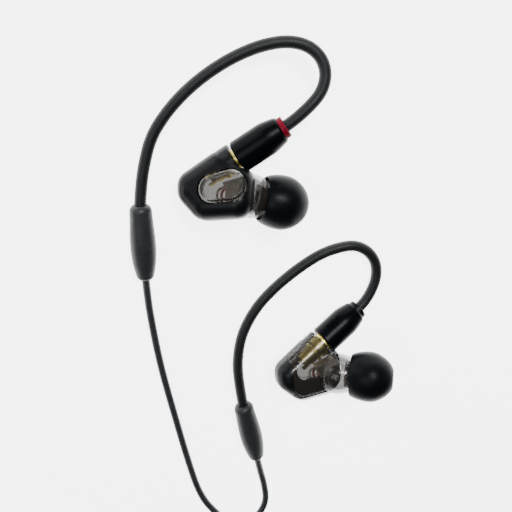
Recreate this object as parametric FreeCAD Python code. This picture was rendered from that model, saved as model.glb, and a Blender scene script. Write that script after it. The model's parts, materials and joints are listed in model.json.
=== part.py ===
import FreeCAD, Part
import math
import os

# In-ear monitors with detachable cables, lying on a table. Millimetres, +Z up, floor at Z = 0.
# Each earpiece is drawn once in its own frame: X towards the nozzle side, Y up the face, Z out
# of the outer face, and Z = 0 on the seam of its two shells. The left one is its mirror image.

V = FreeCAD.Vector
UP = V(0, 0, 1)

# ---- earpiece: driving sizes ------------------------------------------------------------
WALL = 0.9
OUTER_DEPTH = 4.2
INNER_DEPTH = 4.0
ROUND = 3.45
# discs whose common outline is the housing, counter-clockwise: x, y, radius
BODY_DISCS = [(4.6, -2.7, 4.0), (5.0, 1.2, 3.7), (1.0, 4.3, 3.8), (-5.0, 0.75, 3.6), (-4.3, -0.1, 4.3),
              (-1.9, -2.7, 4.25)]
WINDOW_DISCS = [(4.3, 0.2, 3.4), (0.2, -0.45, 3.05)]
POCKET_GAP = 0.3
WINDOW_TOP = 4.45
WINDOW_BEVEL = 0.6
POCKET_FLOOR = 2.4
SEAT_WIDTH = 0.35
# the outer shell wraps round the blunt end, down to the inner face, left of this line
WRAP_X = -5.5

# connector axis: crosses the mouth of the collar at PLUG_AT
PLUG_AT = V(4.35, 6.49, 0)
PLUG_TURN = 31
PLUG_DIR = V(math.cos(math.radians(PLUG_TURN)), math.sin(math.radians(PLUG_TURN)), 0)
COLLAR_R = 3.8
SOCKET_R = 2.9
CONTACT_R = 1.7
BARREL_R = 3.7
BARREL_FRONT = 0.6
BARREL_REAR = 11.8
COLOUR_RING = 1.1
RING_R = 2.45
LOOP_D = 2.7

# nozzle axis: crosses the rear rim of the ear tip at TIP_AT
TIP_AT = V(9.0, -1.6, -5.0)
NOZZLE_SWING = math.radians(-10)
NOZZLE_TOE = math.radians(32)
NOZZLE_DIR = V(math.cos(NOZZLE_TOE) * math.cos(NOZZLE_SWING),
               math.cos(NOZZLE_TOE) * math.sin(NOZZLE_SWING), -math.sin(NOZZLE_TOE))
BOSS_END = 1.05
NOZZLE_SEAT_R = 2.6
NOZZLE_R = 2.5
NOZZLE_LIP_R = 2.75
TIP_BORE_R = 2.8
TIP_R = 6.15
TIP_LENGTH = 10.3

FIT = 0.05

# ---- where the two earpieces lie: lean about X, lean about Y, turn about Z, then a shift ----
POSES = {
    "right": (-26.2, -26.4, -3.9, V(-18.0, 19.7, 6.48)),
    "left": (-13.9, 6.2, 7.2, V(5.95, -27.6, 7.64)),
}

# ---- cords ------------------------------------------------------------------------------
LEAD_D = 1.85
MAIN_D = 2.4
# ear loops: after the stub that leaves the plug barrel, round to the top of the capsule
LOOP_STUB = 2.6
LOOPS = {
    "right": [(0.9, 37.5, 8.2), (3.8, 40.7, 7.9), (4.8, 44.4, 7.4), (3.7, 47.8, 6.8), (0.7, 50.2, 6.2),
              (-3.7, 50.9, 5.6), (-8.8, 49.9, 5.0), (-14.0, 47.7, 4.4), (-19.3, 44.5, 4.0),
              (-24.3, 40.4, 3.6), (-28.5, 35.7, 3.2), (-31.7, 30.6, 2.9), (-33.2, 25.1, 2.8),
              (-34.1, 19.8, 2.9), (-34.4, 15.4, 3.0)],
    "left": [(22.6, -9.4, 2.0), (23.7, -5.5, 1.9), (23.2, -1.4, 1.8), (20.8, 1.8, 1.8), (17.2, 3.5, 1.7),
             (13.1, 3.0, 1.7), (8.9, 1.6, 1.7), (4.8, -1.0, 1.6), (0.9, -4.0, 1.6), (-2.9, -7.5, 1.6),
             (-6.2, -11.3, 1.6), (-8.8, -15.7, 1.7), (-10.6, -20.6, 1.9), (-11.3, -26.9, 2.3),
             (-10.7, -33.1, 2.7), (-9.6, -39.1, 3.0)],
}
LEADS = {
    "right": [(-33.6, -2.4, 2.95), (-33.2, -8.0, 1.7), (-32.3, -15.2, 0.98), (-30.4, -27.2, 0.95),
              (-27.0, -42.2, 0.95), (-23.5, -57.2, 0.95), (-20.2, -69.2, 0.95), (-15.6, -76.5, 1.3),
              (-10.2, -83.0, 2.2), (-10.2, -102.0, 2.2), (-10.5, -111.0, 1.6), (-10.6, -118.5, 1.43)],
    "left": [(-5.2, -56.4, 2.95), (-3.9, -61.6, 1.7), (-2.3, -67.3, 0.98), (-1.3, -73.5, 0.95),
             (-3.2, -78.2, 1.3), (-7.8, -83.5, 2.2), (-7.8, -102.0, 2.2), (-9.5, -110.5, 4.1),
             (-11.1, -118.0, 5.13)],
}
LEAD_COIL_AT = V(0.4, -124.2, 0)
LEAD_COIL = (6.9, 12.4, 0.5, 4 * LEAD_D)
TAILS = {
    "right": [(-10.6, -129.9, 3.28), (-11.2, -137.5, 2.6), (-11.4, -145.5, 3.2)],
    "left": [(-11.1, -129.9, 6.98), (-9.6, -138.0, 5.6), (-9.0, -145.5, 3.2)],
}
SPLITTER_AT = V(-10.2, -145.5, 3.2)
SPLITTER_LENGTH = 12.0
MAIN_CORD = [(-10.2, -157.5, 3.2), (-10.1, -164.0, 2.3), (-10.1, -171.0, 1.8)]
MAIN_COIL_AT = V(7.4, -177.6, 0)
MAIN_COIL = (8.2, 18.7, 0.6, 4 * MAIN_D)
MAIN_TAIL = [(24.9, -172.0, 9.0), (26.2, -164.0, 7.0), (29.4, -157.5, 4.7), (30.2, -150.5, 4.2)]
JACK_AT = V(30.2, -150.5, 4.2)
JACK_R = 1.75
SLIDER_AT = V(-9.0, -92.5, 2.2)
SLIDER_LENGTH = 5.6

os.makedirs("parts", exist_ok=True)


# ---- helpers ----------------------------------------------------------------------------
def hull_face(discs, grow=0.0, z=0.0):
    """The face inside a taut band round discs given counter-clockwise."""
    around = [(V(x, y, z), r + grow) for x, y, r in discs]
    normals = []
    for (c, r), (d, s) in zip(around, around[1:] + around[:1]):
        step = d - c
        angle = math.atan2(step.y, step.x) - math.acos((r - s) / step.Length)
        normals.append(angle)
    edges = []
    for i, (c, r) in enumerate(around):
        start = normals[i - 1]
        end = normals[i]
        while end < start:
            end += 2 * math.pi
        a, m, b = [c + V(math.cos(t), math.sin(t), 0) * r for t in (start, (start + end) / 2, end)]
        edges.append(Part.Arc(a, m, b).toShape())
        d, s = around[(i + 1) % len(around)]
        edges.append(Part.LineSegment(b, d + V(math.cos(end), math.sin(end), 0) * s).toShape())
    return Part.Face(Part.Wire(Part.__sortEdges__(edges)))


def hull_block(discs, grow, z0, z1, rounding=0.0):
    """A block over a disc outline from z0 to z1, with the edges at z1 rounded."""
    block = hull_face(discs, grow, z0).extrude(V(0, 0, z1 - z0))
    if rounding:
        rim = [e for e in block.Edges if all(abs(v.Z - z1) < 1e-6 for v in e.Vertexes)]
        block = block.makeFillet(rounding, rim)
    return block


def along(origin, axis, t):
    return origin + axis * t


def rod(origin, axis, r, t0, t1):
    return Part.makeCylinder(r, t1 - t0, along(origin, axis, t0), axis)


def ring(origin, axis, r0, r1, t0, t1):
    return rod(origin, axis, r1, t0, t1).cut(rod(origin, axis, r0, t0 - 1, t1 + 1))


def turned(origin, axis, edges):
    """Turns a profile of (t, r) edges, drawn along X and Y, about the axis."""
    wire = Part.Wire(Part.__sortEdges__(edges))
    solid = Part.Face(wire).revolve(V(0, 0, 0), V(1, 0, 0), 360)
    solid.Placement = FreeCAD.Placement(origin, FreeCAD.Rotation(V(1, 0, 0), axis))
    return solid


def lines(*points):
    ends = [V(t, r, 0) for t, r in points]
    return [Part.LineSegment(a, b).toShape() for a, b in zip(ends, ends[1:])]


def curve(*points):
    spline = Part.BSplineCurve()
    spline.interpolate([V(t, r, 0) for t, r in points])
    return spline.toShape()


def box_at(centre, size, turn=0.0):
    block = Part.makeBox(*size, V(-size[0] / 2, -size[1] / 2, -size[2] / 2))
    block.Placement = FreeCAD.Placement(centre, FreeCAD.Rotation(UP, turn))
    return block


def cord_path(points, closing=0.45):
    """Straight runs joined by tangent arcs as large as their runs allow."""
    pts = [V(*p) for p in points]
    edges = []
    radii = []
    at = pts[0]
    for a, b, c in zip(pts, pts[1:], pts[2:]):
        u, w = (b - a), (c - b)
        reach = closing * min(u.Length, w.Length)
        u.normalize()
        w.normalize()
        half = u.getAngle(w) / 2
        radius = reach / math.tan(half)
        start, end = b - u * reach, b + w * reach
        inward = w - u
        inward.normalize()
        middle = b + inward * (radius / math.cos(half) - radius)
        edges.append(Part.LineSegment(at, start).toShape())
        edges.append(Part.Arc(start, middle, end).toShape())
        radii.append(radius)
        at = end
    edges.append(Part.LineSegment(at, pts[-1]).toShape())
    return Part.Wire(edges), radii


def tube(name, points, diameter):
    path, radii = cord_path(points)
    tangent = V(*points[1]) - V(*points[0])
    section = Part.Wire(Part.makeCircle(diameter / 2, V(*points[0]), tangent))
    solid = path.makePipeShell([section], True, False)
    expected = math.pi * diameter ** 2 / 4 * path.Length
    print(f"{name}: {path.Length:.1f} mm, tightest radius {min(radii):.1f} mm,"
          f" volume ratio {solid.Volume / expected:.4f}")
    return solid


def save(name, solid):
    solids = solid.Solids
    if len(solids) != 1 or not solid.isValid():
        print(f"CHECK {name}: {len(solids)} solids, valid {solid.isValid()}")
    solids[0].exportStep(f"parts/{name}.step")
    box = solid.BoundBox
    print(f"{name}: x {box.XMin:.2f} {box.XMax:.2f}  y {box.YMin:.2f} {box.YMax:.2f}"
          f"  z {box.ZMin:.2f} {box.ZMax:.2f}  volume {solid.Volume:.2f}")


# ---- housing ----------------------------------------------------------------------------
def inner_half():
    """Everything on the inner side of the seam."""
    return Part.makeBox(60, 60, 30, V(-30, -30, -30))


def barrel_room():
    """The space the plug barrel turns in, past the collar's mouth."""
    return rod(PLUG_AT, PLUG_DIR, BARREL_R + 0.5, 0, 20)


def socket_room():
    return rod(PLUG_AT, PLUG_DIR, SOCKET_R, -7.5, 1)


def shell_block(grow, thinner):
    """The housing's rounded outline, both halves, taken in by a wall where it is a hollow."""
    flip = FreeCAD.Rotation(V(1, 0, 0), 180)
    mirrored = [(x, -y, r) for x, y, r in reversed(BODY_DISCS)]
    outer = hull_block(BODY_DISCS, grow, 0, OUTER_DEPTH - thinner, ROUND - thinner)
    inner = hull_block(mirrored, grow, 0, INNER_DEPTH - thinner, ROUND - thinner)
    inner.Placement = FreeCAD.Placement(V(0, 0, 0), flip)
    return outer.fuse(inner)


def housing():
    """Both shells as one hollow body, with its collar and the boss that carries the nozzle."""
    collar_end = rod(PLUG_AT, PLUG_DIR, COLLAR_R, -4.5, 0)
    rims = [e for e in collar_end.Edges if e.Closed]
    mouth = [e for e in rims if abs((e.CenterOfMass - PLUG_AT).dot(PLUG_DIR)) < 1e-3]
    collar_end = collar_end.makeFillet(0.35, mouth)
    body = shell_block(0, 0).fuse(collar_end).fuse(boss().common(inner_half()))
    body = body.cut(shell_block(-WALL, WALL)).cut(boss_room())
    body = body.cut(rod(TIP_AT, NOZZLE_DIR, NOZZLE_SEAT_R, -2, 2))
    return body.cut(barrel_room()).cut(socket_room())


def boss_form(profile):
    flank = curve(*profile)
    end, r = profile[-1]
    back = profile[0][0]
    return turned(TIP_AT, NOZZLE_DIR, [flank] + lines((end, r), (end, 0), (back, 0)))


def boss():
    """The bulging, egg-shaped stub that reaches into the back of the ear tip."""
    return boss_form([(-8.6, 0), (-7.9, 2.3), (-6.2, 4.2), (-3.8, 5.0), (-1.5, 4.75), (0.2, 4.2),
                      (BOSS_END, 3.4)])


def boss_room():
    return boss_form([(-7.6, 0), (-7.0, 1.7), (-5.6, 3.3), (-3.8, 4.1), (-1.8, 3.9), (-0.2, 3.3)])


def inner_side():
    """The part of the housing that the smoked inner shell makes up."""
    return Part.makeBox(60, 60, 30, V(WRAP_X, -30, -30))


def outer_shell():
    body = housing().cut(inner_side())
    seat = hull_block(WINDOW_DISCS, POCKET_GAP + WALL, POCKET_FLOOR - 0.7, OUTER_DEPTH - 0.1)
    body = body.fuse(seat.common(shell_block(-0.1, 0.1)))
    body = body.cut(hull_block(WINDOW_DISCS, POCKET_GAP, POCKET_FLOOR, 6))
    body = body.cut(hull_block(WINDOW_DISCS, -SEAT_WIDTH, 0, 6))
    return body.cut(barrel_room()).cut(socket_room()).removeSplitter()


def inner_shell():
    return housing().common(inner_side()).removeSplitter()


def window():
    """Clear lens: a shallow cap that stands on the pocket's floor, bevelled round its top."""
    cap = hull_block(WINDOW_DISCS, 0, POCKET_FLOOR, WINDOW_TOP)
    top = [e for e in cap.Edges if all(abs(v.Z - WINDOW_TOP) < 1e-6 for v in e.Vertexes)]
    cap = cap.makeChamfer(WINDOW_BEVEL, top)
    return cap.cut(hull_block(WINDOW_DISCS, -0.8, POCKET_FLOOR - 1, WINDOW_TOP - 0.8))


# ---- nozzle and ear tip -----------------------------------------------------------------
def nozzle():
    outline = lines((-1.3, 1.7), (-1.3, 3.2), (-0.2, 3.2), (-0.2, NOZZLE_SEAT_R), (BOSS_END, NOZZLE_SEAT_R),
                    (BOSS_END + 0.2, NOZZLE_R), (6.4, NOZZLE_R), (6.4, NOZZLE_LIP_R), (7.2, NOZZLE_LIP_R),
                    (7.7, 2.35), (7.7, 2.05), (7.3, 2.05), (7.3, 1.7), (-1.3, 1.7))
    return turned(TIP_AT, NOZZLE_DIR, outline)


def nozzle_screen():
    return rod(TIP_AT, NOZZLE_DIR, 2.05, 7.3, 7.6)


def ear_tip():
    dome = curve((0.15, 5.15), (1.2, 5.6), (2.8, 6.0), (4.4, TIP_R), (6.0, 5.97), (7.5, 5.35), (9.3, 3.95),
                 (TIP_LENGTH, 2.5))
    inside = curve((8.3, 3.45), (7.9, 4.3), (6.8, 4.95), (4.4, 5.4), (1.8, 5.15), (0.15, 4.8))
    rim = lines((0.15, 4.8), (0.0, 4.97), (0.15, 5.15))
    core = lines((TIP_LENGTH, 2.5), (TIP_LENGTH + 0.1, 2.15), (TIP_LENGTH, 2.0), (8.4, 2.0),
                 (8.0, TIP_BORE_R), (2.0, TIP_BORE_R), (2.0, 3.45), (8.3, 3.45))
    return turned(TIP_AT, NOZZLE_DIR, [dome, inside] + rim + core)


# ---- what is inside the housing -----------------------------------------------------------
def driver():
    """Twin driver: two cans side by side, the rear one turned a little."""
    front = box_at(V(4.2, -0.75, 0.5), (3.1, 3.2, 2.7), 0)
    rear = box_at(V(4.3, 1.0, -0.6), (5.0, 1.9, 2.8), 14)
    front = front.makeFillet(0.25, front.Edges)
    rear = rear.makeFillet(0.25, rear.Edges)
    return front.fuse(rear)


def terminal_strip():
    return box_at(V(2.1, -2.8, 0.95), (4.7, 0.6, 1.2))


def wire(points):
    return tube("wire", points, 0.55)


# ---- connector --------------------------------------------------------------------------
def socket_shell():
    """Gold socket: wide flanges at its mouth, a narrower tube behind and a solder lug."""
    outline = lines((-6.8, CONTACT_R), (-6.8, 2.1), (-5.5, 2.1), (-5.5, 2.4), (-3.5, 2.4), (-3.5, SOCKET_R),
                    (-2.8, SOCKET_R), (-2.8, 2.35), (-2.2, 2.35), (-2.2, SOCKET_R), (-0.6, SOCKET_R),
                    (-0.6, 2.3), (0.45, 2.3), (0.45, CONTACT_R), (-6.8, CONTACT_R))
    shell = turned(PLUG_AT, PLUG_DIR, outline)
    side = PLUG_DIR.cross(UP)
    lug = box_at(V(0, 0, 0), (1.6, 0.5, 1.2))
    lug.Placement = FreeCAD.Placement(along(PLUG_AT, PLUG_DIR, -7.1) + side * 1.88,
                                      FreeCAD.Rotation(UP, PLUG_TURN))
    return shell.fuse(lug)


def snap_ring():
    """Open spring ring in the ferrule's groove; it stays in the socket when the plug turns."""
    loop = ring(PLUG_AT, PLUG_DIR, 1.45, 1.66, -1.9, -1.5)
    gap = box_at(along(PLUG_AT, PLUG_DIR, -1.7) + V(0, 0, 1.5), (1.0, 0.8, 1.0), PLUG_TURN)
    return loop.cut(gap)


def plug_ferrule():
    outline = lines((-2.6, 0.95), (-2.6, 1.5), (-2.45, 1.65), (-1.95, 1.65), (-1.95, 1.4), (-1.45, 1.4),
                    (-1.45, 1.65), (BARREL_FRONT, 1.65), (BARREL_FRONT, 2.4), (2.0, 2.4), (2.0, 1.9),
                    (3.6, 1.9), (3.6, 0.95), (-2.6, 0.95))
    return turned(PLUG_AT, PLUG_DIR, outline)


def plug_pin():
    outline = lines((-4.1, 0), (-4.1, 0.25), (-3.8, 0.45), (4.6, 0.45), (4.6, 0), (-4.1, 0))
    return turned(PLUG_AT, PLUG_DIR, outline)


def plug_barrel(side):
    shoulder = curve((7.0, BARREL_R), (8.9, 3.55), (10.5, 3.19), (11.4, 2.96))
    rest = lines((11.4, 2.96), (BARREL_REAR, 2.65), (BARREL_REAR, 0), (4.6, 0), (4.6, 0.45), (3.6, 0.45),
                 (3.6, 1.9), (2.0, 1.9), (2.0, 2.4), (BARREL_FRONT, 2.4), (BARREL_FRONT, 3.4),
                 (BARREL_FRONT + 0.3, BARREL_R), (7.0, BARREL_R))
    barrel = turned(PLUG_AT, PLUG_DIR, [shoulder] + rest)
    if side == "left":
        across = UP.cross(PLUG_DIR)
        lift = math.radians(-30)
        radial = across * math.cos(lift) + UP * math.sin(lift)
        for t, length in ((3.6, 0.5), (5.0, 1.2), (6.6, 0.5)):
            mark = Part.makeCylinder(0.36, BARREL_R + 0.22, along(PLUG_AT, PLUG_DIR, t), radial)
            if length > 0.6:
                step = PLUG_DIR * (length / 3)
                mark = mark.fuse(mark.translated(step)).fuse(mark.translated(-step))
            core = rod(PLUG_AT, PLUG_DIR, BARREL_R - 0.6, 0, 12)
            barrel = barrel.fuse(mark.cut(core))
    return barrel.removeSplitter()


def colour_ring():
    end = BARREL_REAR + COLOUR_RING
    r = LOOP_D / 2
    outline = lines((BARREL_REAR, r), (BARREL_REAR, RING_R), (end - 0.15, RING_R), (end, RING_R - 0.15),
                    (end, r), (BARREL_REAR, r))
    return turned(PLUG_AT, PLUG_DIR, outline)


def earpiece(side):
    """The pieces of one earpiece and of its plug, in the earpiece's own frame."""
    return {
        "outer_shell": outer_shell(),
        "window": window(),
        "inner_shell": inner_shell(),
        "nozzle": nozzle(),
        "nozzle_screen": nozzle_screen(),
        "driver": driver(),
        "terminal_strip": terminal_strip(),
        "wire_red": wire([(1.95, -2.8, 1.5), (1.9, -2.1, 2.05), (1.95, -1.2, 2.0), (2.2, -0.5, 1.4),
                          (2.7, -0.3, 0.9)]),
        "wire_white": wire([(0.95, -2.8, 1.5), (0.9, -2.1, 2.05), (0.95, -1.1, 2.0), (1.3, -0.2, 1.3),
                            (2.0, 0.3, 0.4)]),
        "socket_shell": socket_shell(),
        "socket_insulator": ring(PLUG_AT, PLUG_DIR, 0.8, CONTACT_R, -6.2, -4.4),
        "socket_contact": rod(PLUG_AT, PLUG_DIR, 0.8, -7.4, -3.0).cut(
            rod(PLUG_AT, PLUG_DIR, 0.45 + FIT, -5.4, -2.5)),
        "ear_tip": ear_tip(),
        "snap_ring": snap_ring(),
        "plug_ferrule": plug_ferrule(),
        "plug_insulator": ring(PLUG_AT, PLUG_DIR, 0.45, 0.95, -2.6, 3.6),
        "plug_pin": plug_pin(),
        "plug_barrel": plug_barrel(side),
        "colour_ring": colour_ring(),
    }


def pose(side):
    lean_x, lean_y, turn, shift = POSES[side]
    spin = (FreeCAD.Rotation(V(1, 0, 0), lean_x).multiply(FreeCAD.Rotation(V(0, 1, 0), lean_y))
            .multiply(FreeCAD.Rotation(UP, turn)))
    return FreeCAD.Placement(shift, spin)


def placed(side, shape):
    if side == "left":
        shape = shape.mirror(V(0, 0, 0), UP)
    shape.Placement = pose(side).multiply(shape.Placement)
    return shape


# ---- pieces on the cords ----------------------------------------------------------------
def capsule(top, bottom):
    axis = bottom - top
    length = axis.Length
    axis.normalize()
    flank = curve((1.3, 2.5), (5.5, 2.72), (10.8, 2.9), (14.2, 2.6), (length - 0.5, 1.95))
    rest = lines((length - 0.5, 1.95), (length, 1.5), (length, 0), (0, 0), (0, 1.6)) + [
        curve((0, 1.6), (0.45, 2.15), (1.3, 2.5))]
    return turned(top, axis, [flank] + rest)


def y_splitter():
    axis = V(0, -1, 0)
    block = Part.makeCone(3.1, 2.2, SPLITTER_LENGTH, SPLITTER_AT, axis)
    rims = [e for e in block.Edges if e.Closed]
    return block.makeFillet(0.6, rims)


def chin_slider():
    """Short oval bead with a hole for each lead."""
    outline = hull_face([(1.3, 0, 2.2), (-1.3, 0, 2.2)])
    bead = outline.extrude(V(0, 0, SLIDER_LENGTH))
    bead = bead.makeFillet(0.5, [e for e in bead.Edges if abs(e.Vertexes[0].Z - e.Vertexes[-1].Z) < 1e-6])
    bead.Placement = FreeCAD.Placement(SLIDER_AT + V(0, SLIDER_LENGTH / 2, 0),
                                       FreeCAD.Rotation(V(1, 0, 0), 90))
    for x in (-1.2, 1.2):
        bead = bead.cut(rod(SLIDER_AT + V(x, 0, 0), V(0, 1, 0), LEAD_D / 2 + FIT, -20, 20))
    return bead


def coil(centre, size):
    inner, outer, floor, height = size
    block = ring(centre, UP, inner, outer, floor, floor + height)
    return block.makeFillet(0.8, [e for e in block.Edges if e.Closed])


def coil_tie(centre, size, angle, width, thick):
    """Strap wound once round the bundle of turns."""
    inner, outer, floor, height = size
    mid = (inner + outer) / 2
    reach = (outer - inner) + 2 * thick
    strap = Part.makeBox(reach, width, height + 2 * thick, V(mid - reach / 2, -width / 2, floor - thick))
    corners = [e for e in strap.Edges if abs(e.Vertexes[0].Y - e.Vertexes[-1].Y) > 0.1]
    strap = strap.makeFillet(0.9, corners)
    inside = Part.makeBox(outer - inner + 0.02, width + 2, height, V(inner - 0.01, -width / 2 - 1, floor))
    strap = strap.cut(inside)
    strap.Placement = FreeCAD.Placement(centre, FreeCAD.Rotation(UP, angle))
    return strap


def jack_pieces():
    """Stereo 3.5 mm plug: boot, grip, sleeve, ring and tip with insulators flush between them."""
    axis = V(0, 1, 0)
    boot = turned(JACK_AT, axis, lines((0, 0), (0, 1.75), (9.5, 2.9), (10, 2.9), (10, 0), (0, 0)))
    grip_side = curve((10.4, 3.3), (12.5, 3.6), (18, 3.65), (24.5, 3.4))
    grip = turned(JACK_AT, axis, [grip_side] + lines((24.5, 3.4), (25, 3.0), (25, 1.2), (23, 1.2), (23, 0),
                                                     (10, 0), (10, 3.0), (10.4, 3.3)))
    r = JACK_R
    core = 0.7
    sleeve = turned(JACK_AT, axis, lines((23, core), (23, 1.2), (25, 1.2), (25, 2.6), (25.6, 2.6), (25.6, r),
                                         (32.0, r), (32.0, core), (23, core)))
    ring_piece = ring(JACK_AT, axis, core, r, 32.7, 34.6)
    bands = ring(JACK_AT, axis, core, r, 32.0, 32.7), ring(JACK_AT, axis, core, r, 34.6, 35.3)
    inside = ring(JACK_AT, axis, 0.4, core, 23, 35.3)
    insulator = bands[0].fuse(bands[1]).fuse(inside)
    tip_end = lines((23, 0), (23, 0.4), (35.3, 0.4), (35.3, r), (35.9, r), (36.6, 1.25), (37.3, 1.7),
                    (38.8, 0.7), (39.2, 0), (23, 0))
    tip = turned(JACK_AT, axis, tip_end)
    return {"jack_boot": boot, "jack_grip": grip, "jack_sleeve": sleeve, "jack_ring": ring_piece,
            "jack_insulator": insulator, "jack_tip": tip}


# ---- build ------------------------------------------------------------------------------
for side in ("right", "left"):
    for name, shape in earpiece(side).items():
        save(f"{side}_{name}", placed(side, shape))
    spot = pose(side)
    exit_at = spot.multVec(along(PLUG_AT, PLUG_DIR, BARREL_REAR))
    outward = spot.Rotation.multVec(PLUG_DIR)
    print(side, "plug exit", exit_at, "direction", outward)
    loop = [tuple(exit_at), tuple(exit_at + outward * LOOP_STUB)] + LOOPS[side]
    save(f"{side}_ear_loop", tube(f"{side}_ear_loop", loop, LOOP_D))
    save(f"{side}_loop_capsule", capsule(V(*LOOPS[side][-1]), V(*LEADS[side][0])))
    save(f"{side}_lead", tube(f"{side}_lead", LEADS[side], LEAD_D))
    save(f"{side}_lead_tail", tube(f"{side}_lead_tail", TAILS[side], LEAD_D))

save("chin_slider", chin_slider())
save("y_splitter", y_splitter())
save("lead_coil", coil(LEAD_COIL_AT, LEAD_COIL))
save("lead_tie", coil_tie(LEAD_COIL_AT, LEAD_COIL, 60, 3.0, 0.45))
save("main_cord", tube("main_cord", MAIN_CORD, MAIN_D))
save("main_coil", coil(MAIN_COIL_AT, MAIN_COIL))
save("cable_tie", coil_tie(MAIN_COIL_AT, MAIN_COIL, -90, 6.0, 0.5))
save("main_tail", tube("main_tail", MAIN_TAIL, MAIN_D))
for name, shape in jack_pieces().items():
    save(name, shape)
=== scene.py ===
import json
import math
import bpy
from mathutils import Matrix, Vector


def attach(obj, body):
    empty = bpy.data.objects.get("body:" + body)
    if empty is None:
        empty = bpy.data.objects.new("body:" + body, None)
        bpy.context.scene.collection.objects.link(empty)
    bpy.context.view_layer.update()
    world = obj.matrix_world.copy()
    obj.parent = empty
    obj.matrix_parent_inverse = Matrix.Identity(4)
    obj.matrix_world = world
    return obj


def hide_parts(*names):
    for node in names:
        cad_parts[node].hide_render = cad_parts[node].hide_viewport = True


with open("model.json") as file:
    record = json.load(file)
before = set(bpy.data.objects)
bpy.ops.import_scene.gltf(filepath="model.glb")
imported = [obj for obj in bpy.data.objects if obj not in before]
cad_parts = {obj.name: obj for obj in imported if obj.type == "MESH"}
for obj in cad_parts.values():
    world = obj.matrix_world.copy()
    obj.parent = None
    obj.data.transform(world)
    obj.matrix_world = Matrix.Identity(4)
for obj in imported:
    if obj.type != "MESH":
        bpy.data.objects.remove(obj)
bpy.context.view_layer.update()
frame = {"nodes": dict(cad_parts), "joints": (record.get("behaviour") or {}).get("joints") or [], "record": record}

# In-ear monitors with detachable cables, lying on a pale table. Metres, +Z up.
nodes = frame["nodes"]
mm = 0.001
SIDES = ("right", "left")


# ---- materials --------------------------------------------------------------------------
def material(name, base, rough, **sockets):
    """Principled material and its node tree, with plain values set on the shader itself."""
    mat = bpy.data.materials.new(name)
    mat.use_nodes = True
    shader = mat.node_tree.nodes["Principled BSDF"]
    shader.inputs["Base Color"].default_value = (*base, 1)
    shader.inputs["Roughness"].default_value = rough
    for socket, value in sockets.items():
        shader.inputs[socket.replace("_", " ").title().replace("Ior", "IOR")].default_value = value
    return mat, mat.node_tree, shader


def mottle(tree, scale, low, high, to):
    """Noise in object space, spread between two values or colours, into a socket."""
    where = tree.nodes.new("ShaderNodeTexCoord")
    noise = tree.nodes.new("ShaderNodeTexNoise")
    noise.inputs["Scale"].default_value = scale
    noise.inputs["Detail"].default_value = 4.0
    tree.links.new(where.outputs["Object"], noise.inputs["Vector"])
    if to.type == "RGBA":
        ramp = tree.nodes.new("ShaderNodeValToRGB")
        ramp.color_ramp.elements[0].position = 0.35
        ramp.color_ramp.elements[0].color = (*low, 1)
        ramp.color_ramp.elements[1].position = 0.65
        ramp.color_ramp.elements[1].color = (*high, 1)
        tree.links.new(noise.outputs["Fac"], ramp.inputs["Fac"])
        tree.links.new(ramp.outputs["Color"], to)
    else:
        spread = tree.nodes.new("ShaderNodeMapRange")
        spread.inputs["From Min"].default_value = 0.3
        spread.inputs["From Max"].default_value = 0.7
        spread.inputs["To Min"].default_value = low
        spread.inputs["To Max"].default_value = high
        tree.links.new(noise.outputs["Fac"], spread.inputs["Value"])
        tree.links.new(spread.outputs["Result"], to)


def grain(tree, shader, scale, depth, strength=0.3):
    """Fine surface relief, depth in metres."""
    where = tree.nodes.new("ShaderNodeTexCoord")
    noise = tree.nodes.new("ShaderNodeTexNoise")
    noise.inputs["Scale"].default_value = scale
    noise.inputs["Detail"].default_value = 2.0
    bump = tree.nodes.new("ShaderNodeBump")
    bump.inputs["Strength"].default_value = strength
    bump.inputs["Distance"].default_value = depth
    tree.links.new(where.outputs["Object"], noise.inputs["Vector"])
    tree.links.new(noise.outputs["Fac"], bump.inputs["Height"])
    tree.links.new(bump.outputs["Normal"], shader.inputs["Normal"])


def black_plastic(name, base, rough, gloss=0.2):
    mat, tree, shader = material(name, base, rough, specular_ior_level=gloss)
    mottle(tree, 900, base, tuple(c * 1.25 for c in base), shader.inputs["Base Color"])
    mottle(tree, 400, rough - 0.04, rough + 0.05, shader.inputs["Roughness"])
    grain(tree, shader, 9000, 0.00002)
    return mat


def rubber(name, base, rough, gloss=0.2):
    mat, tree, shader = material(name, base, rough, specular_ior_level=gloss)
    mottle(tree, 700, base, tuple(c * 1.3 for c in base), shader.inputs["Base Color"])
    mottle(tree, 300, rough - 0.05, rough + 0.06, shader.inputs["Roughness"])
    grain(tree, shader, 6000, 0.00003)
    return mat


def metal(name, base, rough):
    mat, tree, shader = material(name, base, rough, metallic=1.0)
    mottle(tree, 500, tuple(c * 0.88 for c in base), base, shader.inputs["Base Color"])
    mottle(tree, 1200, rough - 0.03, rough + 0.04, shader.inputs["Roughness"])
    return mat


def smoked(name, tint, rough, density):
    """Thin smoked plastic: each surface holds back the same share of the light."""
    mat, tree, shader = material(name, tint, rough, specular_ior_level=0.35)
    mottle(tree, 250, tuple(c * 0.8 for c in tint), tint, shader.inputs["Base Color"])
    mottle(tree, 90, density - 0.04, density + 0.04, shader.inputs["Alpha"])
    grain(tree, shader, 300, 0.00003, 0.2)
    return mat


def haze(name, tint, rough, strength, depth):
    """Clear plastic that is a little cloudy, with faint moulding ripples."""
    mat, tree, shader = material(name, tint, rough, transmission_weight=strength, ior=1.49)
    mottle(tree, 250, tuple(c * 0.93 for c in tint), tint, shader.inputs["Base Color"])
    grain(tree, shader, 350, depth, 0.2)
    return mat


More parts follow.
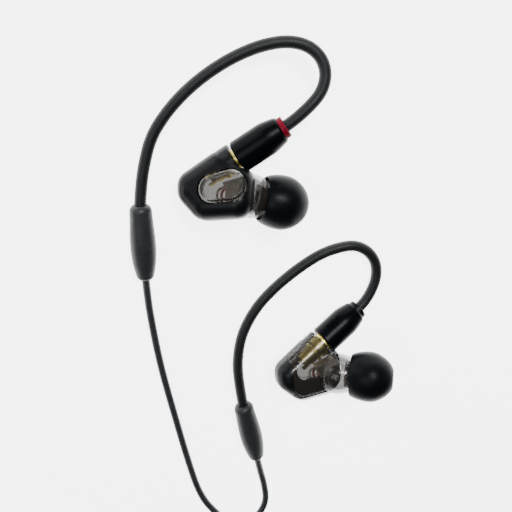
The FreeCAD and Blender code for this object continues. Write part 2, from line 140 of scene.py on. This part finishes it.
def knitted(name, base, rough, scale):
    """Hook-and-loop tape: mottled fibre over a fine bumpy weave."""
    mat, tree, shader = material(name, base, rough, sheen_weight=0.4, sheen_roughness=0.5)
    mottle(tree, 2600, tuple(c * 0.5 for c in base), tuple(c * 2.2 for c in base),
           shader.inputs["Base Color"])
    where = tree.nodes.new("ShaderNodeTexCoord")
    weave = tree.nodes.new("ShaderNodeTexVoronoi")
    weave.inputs["Scale"].default_value = scale
    bump = tree.nodes.new("ShaderNodeBump")
    bump.inputs["Strength"].default_value = 0.8
    bump.inputs["Distance"].default_value = 0.00015
    tree.links.new(where.outputs["Object"], weave.inputs["Vector"])
    tree.links.new(weave.outputs["Distance"], bump.inputs["Height"])
    tree.links.new(bump.outputs["Normal"], shader.inputs["Normal"])
    return mat


def perforated(name, base, rough, scale):
    """Fine mesh disc: bright wires with dark holes between them."""
    mat, tree, shader = material(name, base, rough, metallic=1.0)
    where = tree.nodes.new("ShaderNodeTexCoord")
    cells = tree.nodes.new("ShaderNodeTexVoronoi")
    cells.inputs["Scale"].default_value = scale
    cells.inputs["Randomness"].default_value = 0.1
    ramp = tree.nodes.new("ShaderNodeValToRGB")
    ramp.color_ramp.elements[0].position = 0.28
    ramp.color_ramp.elements[0].color = (0.004, 0.004, 0.004, 1)
    ramp.color_ramp.elements[1].position = 0.42
    ramp.color_ramp.elements[1].color = (*base, 1)
    tree.links.new(where.outputs["Object"], cells.inputs["Vector"])
    tree.links.new(cells.outputs["Distance"], ramp.inputs["Fac"])
    tree.links.new(ramp.outputs["Color"], shader.inputs["Base Color"])
    return mat


LOOKS = {
    "black_shell": black_plastic("black_shell", (0.0012, 0.0017, 0.0023), 0.34, 0.12),
    "clear_lens": haze("clear_lens", (0.28, 0.275, 0.265), 0.04, 0.95, 0.00003),
    "smoked_shell": smoked("smoked_shell", (0.018, 0.016, 0.014), 0.16, 0.5),
    "smoked_nozzle": smoked("smoked_nozzle", (0.02, 0.0175, 0.0155), 0.16, 0.68),
    "screen_mesh": perforated("screen_mesh", (0.4, 0.39, 0.37), 0.35, 2600),
    "driver_can": metal("driver_can", (0.78, 0.68, 0.57), 0.45),
    "dark_board": black_plastic("dark_board", (0.012, 0.011, 0.01), 0.4),
    "red_wire": black_plastic("red_wire", (0.6, 0.012, 0.01), 0.4),
    "white_wire": black_plastic("white_wire", (0.8, 0.76, 0.66), 0.4),
    "gold_contact": metal("gold_contact", (1.0, 0.85, 0.27), 0.38),
    "white_insulator": black_plastic("white_insulator", (0.7, 0.68, 0.62), 0.4),
    "black_silicone": rubber("black_silicone", (0.0014, 0.002, 0.0026), 0.36, 0.05),
    "black_barrel": black_plastic("black_barrel", (0.0007, 0.0012, 0.0017), 0.3, 0.05),
    "red_ring": black_plastic("red_ring", (0.1, 0.002, 0.01), 0.42, 0.06),
    "navy_ring": black_plastic("navy_ring", (0.001, 0.0012, 0.0028), 0.4, 0.1),
    "loop_rubber": rubber("loop_rubber", (0.0035, 0.0042, 0.0048), 0.5),
    "capsule_rubber": rubber("capsule_rubber", (0.01, 0.011, 0.0122), 0.46),
    "lead_rubber": rubber("lead_rubber", (0.012, 0.0135, 0.015), 0.42),
    "tie_strap": knitted("tie_strap", (0.005, 0.005, 0.006), 0.85, 1700),
    "jack_insulator": black_plastic("jack_insulator", (0.004, 0.004, 0.004), 0.4),
}


def dress(obj, slot):
    obj.data.materials.clear()
    obj.data.materials.append(LOOKS[slot])


for part in frame["record"]["subparts"]:
    dress(nodes[part["node"]], part["material_slot"])


# ---- cords ------------------------------------------------------------------------------
LOOP_D = 2.7 * mm
LEAD_D = 1.85 * mm
MAIN_D = 2.4 * mm
# each bundle, in millimetres: its middle, then its inner and outer radius, underside and height
LEAD_COIL_AT = Vector((0.4, -124.2, 0))
LEAD_COIL = (6.9, 12.4, 0.5, 4 * 1.85)
MAIN_COIL_AT = Vector((7.4, -177.6, 0))
MAIN_COIL = (8.2, 18.7, 0.6, 4 * 2.4)
# along the plug from the swivel, in millimetres
BARREL_REAR = 11.8
LOOP_STUB = 2.6
LOOPS = {
    "right": [(0.9, 37.5, 8.2), (3.8, 40.7, 7.9), (4.8, 44.4, 7.4), (3.7, 47.8, 6.8), (0.7, 50.2, 6.2),
              (-3.7, 50.9, 5.6), (-8.8, 49.9, 5.0), (-14.0, 47.7, 4.4), (-19.3, 44.5, 4.0),
              (-24.3, 40.4, 3.6), (-28.5, 35.7, 3.2), (-31.7, 30.6, 2.9), (-33.2, 25.1, 2.8),
              (-34.1, 19.8, 2.9), (-34.4, 15.4, 3.0)],
    "left": [(22.6, -9.4, 2.0), (23.7, -5.5, 1.9), (23.2, -1.4, 1.8), (20.8, 1.8, 1.8), (17.2, 3.5, 1.7),
             (13.1, 3.0, 1.7), (8.9, 1.6, 1.7), (4.8, -1.0, 1.6), (0.9, -4.0, 1.6), (-2.9, -7.5, 1.6),
             (-6.2, -11.3, 1.6), (-8.8, -15.7, 1.7), (-10.6, -20.6, 1.9), (-11.3, -26.9, 2.3),
             (-10.7, -33.1, 2.7), (-9.6, -39.1, 3.0)],
}
LEADS = {
    "right": [(-33.6, -2.4, 2.95), (-33.2, -8.0, 1.7), (-32.3, -15.2, 0.98), (-30.4, -27.2, 0.95),
              (-27.0, -42.2, 0.95), (-23.5, -57.2, 0.95), (-20.2, -69.2, 0.95), (-15.6, -76.0, 1.3),
              (-10.5, -80.6, 2.1), (-10.2, -84.5, 2.2), (-10.2, -104.0, 2.2), (-10.5, -111.0, 1.6),
              (-10.6, -118.5, 1.43)],
    "left": [(-5.2, -56.4, 2.95), (-3.9, -61.6, 1.7), (-2.3, -67.3, 0.98), (-1.3, -73.5, 0.95),
             (-3.2, -78.0, 1.3), (-7.5, -80.9, 2.1), (-7.8, -84.5, 2.2), (-7.8, -101.5, 2.2),
             (-8.0, -105.5, 2.5), (-9.5, -111.0, 4.1), (-11.1, -118.0, 5.13)],
}
TAILS = {
    "right": [(-10.6, -129.9, 3.28), (-11.2, -137.5, 2.6), (-11.4, -145.5, 3.2)],
    "left": [(-11.1, -129.9, 6.98), (-9.6, -138.0, 5.6), (-9.0, -145.5, 3.2)],
}
MAIN_CORD = [(-10.2, -157.5, 3.2), (-10.1, -164.0, 2.3), (-10.1, -171.0, 1.8)]
MAIN_TAIL = [(24.9, -172.0, 9.0), (26.2, -164.0, 7.0), (29.4, -157.5, 4.7), (30.2, -150.5, 4.2)]
PER_TURN = 16
CLIMB = 4  # points over which a coil rises to its next layer


def turns(centre, outer, inner, heights, per_layer):
    """Control points of a coil wound in and out in layers, starting at its left side.

    They stand a little outside the given radii, so that the cord itself runs at them.
    """
    grow = 1 / (0.75 + 0.25 * math.cos(2 * math.pi / PER_TURN))
    steps = round(per_layer * PER_TURN)
    points = []
    for i in range(steps * len(heights) + 1):
        layer = min(i // steps, len(heights) - 1)
        step = i - layer * steps
        part = step / steps
        r = outer + (inner - outer) * (part if layer % 2 == 0 else 1 - part)
        z = heights[layer]
        if layer and step < CLIMB - 1:
            z = heights[layer - 1] + (z - heights[layer - 1]) * (step + 1) / CLIMB
        a = math.pi + 2 * math.pi * i / PER_TURN
        points.append((centre.x + grow * r * math.cos(a), centre.y + grow * r * math.sin(a), z))
    return points


def cord(name, route, diameter, slot):
    """A smooth cord along its control points, which are in millimetres."""
    curve = bpy.data.curves.new(name, "CURVE")
    curve.dimensions = "3D"
    curve.bevel_depth = diameter / 2
    curve.bevel_resolution = 6
    curve.resolution_u = 8
    curve.use_fill_caps = True
    line = curve.splines.new("NURBS")
    line.points.add(len(route) - 1)
    for point, at in zip(line.points, route):
        point.co = (at[0] * mm, at[1] * mm, at[2] * mm, 1)
    line.order_u = 3
    line.use_endpoint_u = True
    obj = bpy.data.objects.new(name, curve)
    bpy.context.scene.collection.objects.link(obj)
    obj.data.materials.append(LOOKS[slot])
    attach(obj, "cable")
    return obj


COILS = {
    "right": turns(LEAD_COIL_AT, 11.0, 8.2, (1.43, 3.28), 1.5),
    "left": turns(LEAD_COIL_AT, 11.5, 7.8, (5.13, 6.98), 2.0),
}


def plug_exit(side):
    """Where the ear loop leaves the plug barrel and where its straight stub ends, in millimetres."""
    swivel = next(j for j in frame["joints"] if j["name"] == f"{side}_swivel")
    at = Vector(swivel["pos_m"]) / mm
    axis = Vector(swivel["axis"]).normalized()
    return [at + axis * BARREL_REAR, at + axis * (BARREL_REAR + LOOP_STUB)]


for side in SIDES:
    route = plug_exit(side) + LOOPS[side]
    loop = cord(f"{side}_loop_cover", route, LOOP_D, "loop_rubber")
    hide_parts(f"{side}_ear_loop")
    route = LEADS[side] + COILS[side] + TAILS[side]
    lead = cord(f"{side}_lead_cord", route, LEAD_D, "lead_rubber")
    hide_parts(f"{side}_lead", f"{side}_lead_tail", *(["lead_coil"] if side == "right" else []))

main = cord("main_cord_line",
            MAIN_CORD + turns(MAIN_COIL_AT, 17.5, 9.4, (1.8, 4.2, 6.6, 9.0), 3.375) + MAIN_TAIL,
            MAIN_D, "lead_rubber")
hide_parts("main_cord", "main_coil", "main_tail")


# ---- straps round the two bundles ---------------------------------------------------------
STRAP_TURNS = 1.22
STRAP_START = 0.2  # of a turn, where the inner end lies
STRAP_STEPS = 180
SQUARENESS = 6  # 2 would be an ellipse
LAP_RISE = 1.05  # strap thicknesses gained each turn, so that the end clears the start
SECTION = [(-0.5, 0.15), (-0.42, 0), (0.42, 0), (0.5, 0.15),
           (0.5, 0.85), (0.42, 1), (-0.42, 1), (-0.5, 0.85)]


def strap(name, node, centre, coil, angle, width, thick):
    """Hook-and-loop strap wound once round a bundle, with its end lapped over its start."""
    inner, outer, floor, height = coil
    middle, half_x, half_z = (inner + outer) / 2, (outer - inner) / 2, height / 2
    spin = Matrix.Translation(centre) @ Matrix.Rotation(math.radians(angle), 4, "Z")
    points, faces = [], []
    for i in range(STRAP_STEPS + 1):
        turn = STRAP_TURNS * i / STRAP_STEPS
        a = 2 * math.pi * (turn + STRAP_START)
        bulge = (abs(math.cos(a)) ** SQUARENESS + abs(math.sin(a)) ** SQUARENESS) ** (-1 / SQUARENESS)
        across, up = bulge * math.cos(a), bulge * math.sin(a)
        for side, lift in SECTION:
            out = thick * (lift + LAP_RISE * max(0.0, turn - 0.02) - 0.2)
            x = middle + across * (half_x + out)
            z = floor + half_z + up * (half_z + out)
            y = width * (side + 0.03 * math.sin(5 * a))
            points.append(spin @ Vector((x, y, z)) * mm)
    count = len(SECTION)
    for i in range(STRAP_STEPS):
        for j in range(count):
            k = (j + 1) % count
            faces.append((i * count + j, i * count + k, (i + 1) * count + k, (i + 1) * count + j))
    faces.append(tuple(range(count)))
    faces.append(tuple(STRAP_STEPS * count + j for j in reversed(range(count))))
    mesh = bpy.data.meshes.new(name)
    mesh.from_pydata(points, [], faces)
    mesh.polygons.foreach_set("use_smooth", [True] * len(faces))
    mesh.materials.append(LOOKS["tie_strap"])
    obj = bpy.data.objects.new(name, mesh)
    bpy.context.scene.collection.objects.link(obj)
    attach(obj, "cable")
    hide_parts(node)


strap("lead_strap", "lead_tie", LEAD_COIL_AT, LEAD_COIL, 60, 3.0, 0.45)
strap("main_strap", "cable_tie", MAIN_COIL_AT, MAIN_COIL, -90, 6.0, 0.5)


# ---- stage, light and camera ----------------------------------------------------------------
FLOOR_GLOW = 4.6
SKY = 0.1
FLOOR_HALF = 8
FLOOR_DROP = 0.0001  # keeps the floor just clear of what lies on it
HORIZON = (0.04, 0.14)  # height over which the pale surround fades to the dim sky
floor_mesh = bpy.data.meshes.new("floor")
corners = [(x * FLOOR_HALF, y * FLOOR_HALF, 0) for x, y in ((-1, -1), (1, -1), (1, 1), (-1, 1))]
floor_mesh.from_pydata(corners, [], [(0, 1, 2, 3)])
floor = bpy.data.objects.new("floor", floor_mesh)
bpy.context.scene.collection.objects.link(floor)
floor.location.z = -FLOOR_DROP
paper, paper_tree, paper_shader = material("paper", (0.95, 0.95, 0.95), 0.8, emission_strength=FLOOR_GLOW)
paper_shader.inputs["Emission Color"].default_value = (1, 1, 1, 1)
mottle(paper_tree, 40, (0.93, 0.93, 0.93), (0.96, 0.96, 0.96), paper_shader.inputs["Base Color"])
floor_mesh.materials.append(paper)

world = bpy.data.worlds.new("studio")
world.use_nodes = True
sky = world.node_tree
background = sky.nodes["Background"]
background.inputs["Color"].default_value = (0.97, 0.98, 1, 1)
heading = sky.nodes.new("ShaderNodeTexCoord")
split = sky.nodes.new("ShaderNodeSeparateXYZ")
fade = sky.nodes.new("ShaderNodeMapRange")
fade.inputs["From Min"].default_value, fade.inputs["From Max"].default_value = HORIZON
fade.inputs["To Min"].default_value = FLOOR_GLOW
fade.inputs["To Max"].default_value = SKY
sky.links.new(heading.outputs["Generated"], split.inputs["Vector"])
sky.links.new(split.outputs["Z"], fade.inputs["Value"])
sky.links.new(fade.outputs["Result"], background.inputs["Strength"])
bpy.context.scene.world = world


def softbox(name, at, aim, size, power):
    lamp = bpy.data.lights.new(name, "AREA")
    lamp.shape = "RECTANGLE"
    lamp.size, lamp.size_y = size
    lamp.energy = power
    obj = bpy.data.objects.new(name, lamp)
    obj.location = at
    obj.rotation_euler = (Vector(aim) - Vector(at)).to_track_quat("-Z", "Y").to_euler()
    bpy.context.scene.collection.objects.link(obj)


softbox("key", (-0.5, 0.42, 0.2), (0, 0, 0), (0.3, 0.25), 1.0)
softbox("top", (-0.3, 0.06, 0.53), (0, 0, 0), (0.3, 0.3), 1.6)
softbox("rear", (0.02, 0.33, 0.5), (0, 0, 0), (0.16, 0.16), 4.5)

LOOK_AT = Vector((-7.1, 0.9, 0)) * mm
LOOK_FROM = Vector((-0.2007, 0.3719, 0.9063))
CAMERA_DISTANCE = 0.160
camera_data = bpy.data.cameras.new("camera")
camera_data.lens = 46.66
camera_data.sensor_width = 36
camera_data.clip_start = 0.01
camera = bpy.data.objects.new("camera", camera_data)
camera.location = LOOK_AT + LOOK_FROM * CAMERA_DISTANCE
camera.rotation_euler = Vector((0, 0, 1)).rotation_difference(LOOK_FROM).to_euler()
bpy.context.scene.collection.objects.link(camera)
bpy.context.scene.camera = camera
